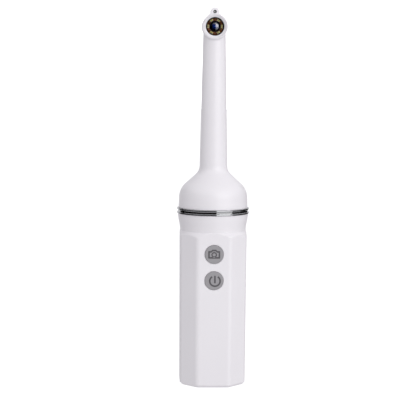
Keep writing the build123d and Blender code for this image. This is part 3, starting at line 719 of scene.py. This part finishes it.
class INTRAORAL_OT_power_frame(bpy.types.Operator):
    """Finishes the inner frame, the cell and its tabs, and gives the screws their cross recess"""
    bl_idname = "intraoral.power_frame"
    bl_label = "Frame, Cell and Screws"

    def recessed_screw(self, bm, place, head, shank, length, flare):
        """One screw along local -Z below its flat face: a cross recess, a head and a shank."""
        steps = 32
        slot, arm, depth = 0.24 * head, 0.62 * head, 0.5 * head
        floor_share = 0.55  # the recess narrows to this at its floor
        cross = []
        for quarter in range(4):
            turn = Matrix.Rotation(quarter * pi / 2, 2)
            cross += [turn @ Vector(p) for p in ((slot, slot), (arm, slot), (arm, -slot))]
        profile = [(head, 0.0), (head, -flare[0]), (shank, -flare[1]), (shank, -length)]
        rings = []
        for radius, z in profile:
            rings.append([bm.verts.new(place @ Vector((radius * cos(2 * pi * i / steps),
                                                       radius * sin(2 * pi * i / steps), z)))
                          for i in range(steps)])
        for upper, lower in zip(rings, rings[1:]):
            for i in range(steps):
                j = (i + 1) % steps
                bm.faces.new((upper[i], upper[j], lower[j], lower[i]))
        bm.faces.new(rings[-1])
        mouth = [bm.verts.new(place @ Vector((p.x, p.y, 0.0))) for p in cross]
        floor = [bm.verts.new(place @ Vector((p.x * floor_share, p.y * floor_share, -depth)))
                 for p in cross]
        rim = []
        for loop in (rings[0], mouth):
            for i, vert in enumerate(loop):
                edge = bm.edges.get((vert, loop[(i + 1) % len(loop)]))
                rim.append(edge or bm.edges.new((vert, loop[(i + 1) % len(loop)])))
        bmesh.ops.triangle_fill(bm, edges=rim, use_beauty=True)
        for i in range(len(mouth)):
            j = (i + 1) % len(mouth)
            bm.faces.new((mouth[i], mouth[j], floor[j], floor[i]))
        bm.faces.new(floor)

    def execute(self, context):
        dress(moulded_grey_polycarbonate(), "chassis")
        dress(shrunk_pvc_sleeve(), "battery_cell")
        dress(stamped_nickel_strip(), "battery_tab_top", "battery_tab_bottom")
        steel = zinc_plated_steel()
        low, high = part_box("cap_screws")
        head = (high.y - low.y) / 2
        shank, rim = 0.5 * head, 0.05 * MM
        bm = bmesh.new()
        for x in (low.x + head, high.x - head):
            place = Matrix.Translation((x, (low.y + high.y) / 2, low.z)) @ Matrix.Rotation(pi, 4, "X")
            self.recessed_screw(bm, place, head, shank, high.z - low.z, (rim, head - shank))
        screws = new_piece("cap_screws_cross", mesh_of("cap_screws_cross", bm, smooth=False), steel,
                           "camera")
        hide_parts("cap_screws")
        dress(steel, "cap_screws", "board_screws")
        return {"FINISHED"}


class INTRAORAL_OT_stage(bpy.types.Operator):
    """Makes the floor, the white surroundings, the light and the camera"""
    bl_idname = "intraoral.stage"
    bl_label = "Studio Stage"

    def only_seen(self, thing, directly=False, reflected=False):
        """Lets a stage object show directly or in reflections, and keeps it out of the lighting."""
        thing.visible_camera = directly
        thing.visible_glossy = thing.visible_transmission = reflected
        thing.visible_diffuse = thing.visible_shadow = False

    def floor(self):
        """A wide round floor of matt white card that keeps a faint contact shadow."""
        bm = bmesh.new()
        bmesh.ops.create_circle(bm, cap_ends=True, radius=6.0, segments=96)
        floor = bpy.data.objects.new("floor", mesh_of("floor", bm))
        material, tree, shader = start_material("matt_white_card", linear("B4B4B5"), 0.9,
                                                Emission_Color=rgba(linear("FFFFFF")),
                                                Emission_Strength=0.75, Specular_IOR_Level=0.1)
        noise = grain(tree, shader, size_mm=3.0, depth_mm=0.02)
        add_node(tree, "ShaderNodeMapRange", {"To Min": 0.85, "To Max": 0.95},
                 {"Value": noise.outputs["Fac"]}, {"Result": shader.inputs["Roughness"]})
        floor.data.materials.append(material)
        floor.visible_diffuse = floor.visible_glossy = floor.visible_transmission = False
        return floor

    def surroundings(self):
        """A white dome that only the camera sees, behind the floor."""
        bm = bmesh.new()
        bmesh.ops.create_icosphere(bm, subdivisions=3, radius=9.0)
        dome = bpy.data.objects.new("surroundings", mesh_of("surroundings", bm))
        material = start_material("lit_white_backdrop", linear("FFFFFF"), 1.0,
                                  Emission_Color=rgba(linear("FFFFFF")), Emission_Strength=1.0)[0]
        dome.data.materials.append(material)
        self.only_seen(dome, directly=True)
        return dome

    def card(self, name, glow, radius, start, end, low, high):
        """A curved card, upright round the object, that shows only in reflections.

        start and end are degrees to the right of the front, and the other sizes metres.
        """
        steps = 48
        bm = bmesh.new()
        columns = []
        for i in range(steps + 1):
            a = radians(start + (end - start) * i / steps)
            columns.append([bm.verts.new((radius * sin(a), -radius * cos(a), z)) for z in (low, high)])
        for near, far in zip(columns, columns[1:]):
            bm.faces.new((near[0], far[0], far[1], near[1]))
        card = bpy.data.objects.new(name, mesh_of(name, bm))
        material = start_material(f"flocked_{name}", linear("050505"), 1.0,
                                  Specular_IOR_Level=0.0, Emission_Strength=glow,
                                  Emission_Color=rgba(linear("FFFFFF")))[0]
        card.data.materials.append(material)
        self.only_seen(card, reflected=True)
        return card

    def light(self, name, power, size, azimuth, height, distance, aim):
        """A rectangular soft light that faces a point on the object's axis."""
        data = bpy.data.lights.new(name, "AREA")
        data.shape = "RECTANGLE"
        data.size, data.size_y = size
        data.energy = power
        lamp = bpy.data.objects.new(name, data)
        a = radians(azimuth)
        lamp.location = (distance * sin(a), -distance * cos(a), height)
        look = Vector((0.0, 0.0, aim)) - lamp.location
        lamp.rotation_euler = look.to_track_quat("-Z", "Y").to_euler()
        lamp.visible_camera = False
        return lamp

    def camera(self, stage):
        """The camera at the photograph's angle: a little above the head, slightly left of the front."""
        azimuth, pitch, roll = radians(-2.1), radians(5.366), radians(0.44)
        shift_left = 7.0 * MM
        data = bpy.data.cameras.new("camera")
        data.sensor_width = 36.0
        data.lens = stage.lens
        data.clip_start, data.clip_end = 0.01, 50.0
        eye = bpy.data.objects.new("camera", data)
        back = Vector((sin(azimuth), -cos(azimuth), 0.0))
        right = Vector((cos(azimuth), sin(azimuth), 0.0))
        place = back * stage.distance - right * shift_left + Vector((0.0, 0.0, stage.eye_height))
        turn = (Matrix.Rotation(azimuth, 4, "Z") @ Matrix.Rotation(pi / 2 - pitch, 4, "X")
                @ Matrix.Rotation(roll, 4, "Z"))
        eye.matrix_world = Matrix.Translation(place) @ turn
        return eye

    def execute(self, context):
        scene = context.scene
        stage = scene.intraoral_stage
        link = scene.collection.objects.link
        things = [
            self.floor(), self.surroundings(),
            self.card("black_card_left", glow=0.0, radius=0.5, start=-138, end=9, low=-0.2, high=0.4),
            self.card("black_card_right", glow=0.0, radius=0.5, start=62, end=150, low=-0.2, high=0.3),
            self.card("white_card", glow=0.8, radius=0.5, start=9, end=62, low=-0.2, high=0.12),
        ]
        for thing in things:
            link(thing)
        link(self.light("key_light", stage.key_power, size=(1.15, 1.0), azimuth=32, height=0.6,
                        distance=1.3, aim=0.12))
        eye = self.camera(stage)
        link(eye)
        scene.camera = eye
        world = bpy.data.worlds.new("even_light")
        world.use_nodes = True
        background = world.node_tree.nodes["Background"]
        background.inputs["Color"].default_value = rgba(linear("FDFCFF"))
        brightest = (0.3, -0.1, 0.95)  # up and a little to the right
        way = add_node(world.node_tree, "ShaderNodeTexCoord")
        rise = add_node(world.node_tree, "ShaderNodeVectorMath", {1: brightest},
                        {0: way.outputs["Generated"]}, operation="DOT_PRODUCT")
        add_node(world.node_tree, "ShaderNodeMapRange",
                 {"From Min": -1.0, "From Max": 1.0, "To Min": stage.ambient_low,
                  "To Max": stage.ambient_high},
                 {"Value": rise.outputs["Value"]}, {"Result": background.inputs["Strength"]})
        scene.world = world
        scene.view_settings.view_transform = "Standard"
        return {"FINISHED"}


OPERATORS = (
    INTRAORAL_OT_white_shell, INTRAORAL_OT_bright_ring, INTRAORAL_OT_buttons, INTRAORAL_OT_lit_head,
    INTRAORAL_OT_lens, INTRAORAL_OT_electronics, INTRAORAL_OT_power_frame, INTRAORAL_OT_stage,
)


class INTRAORAL_PT_panel(bpy.types.Panel):
    """Lists the steps and settings of the intraoral camera"""
    bl_idname = "INTRAORAL_PT_panel"
    bl_label = "Intraoral Camera"
    bl_space_type = "VIEW_3D"
    bl_region_type = "UI"
    bl_category = "Intraoral"

    def draw(self, context):
        layout = self.layout
        for settings in (context.scene.intraoral_finish, context.scene.intraoral_signs,
                         context.scene.intraoral_stage):
            box = layout.box()
            for key in settings.__annotations__:
                box.prop(settings, key)
        for operator in OPERATORS:
            layout.operator(operator.bl_idname)


CLASSES = (FinishSettings, SignSettings, StageSettings, *OPERATORS, INTRAORAL_PT_panel)


def register():
    for cls in CLASSES:
        bpy.utils.register_class(cls)
    bpy.types.Scene.intraoral_finish = PointerProperty(type=FinishSettings)
    bpy.types.Scene.intraoral_signs = PointerProperty(type=SignSettings)
    bpy.types.Scene.intraoral_stage = PointerProperty(type=StageSettings)


def unregister():
    del bpy.types.Scene.intraoral_stage
    del bpy.types.Scene.intraoral_signs
    del bpy.types.Scene.intraoral_finish
    for cls in reversed(CLASSES):
        bpy.utils.unregister_class(cls)


def main():
    register()
    bpy.ops.intraoral.white_shell()
    bpy.ops.intraoral.bright_ring()
    bpy.ops.intraoral.buttons()
    bpy.ops.intraoral.lit_head()
    bpy.ops.intraoral.lens()
    bpy.ops.intraoral.electronics()
    bpy.ops.intraoral.power_frame()
    bpy.ops.intraoral.stage()


if __name__ == "__main__":
    main()
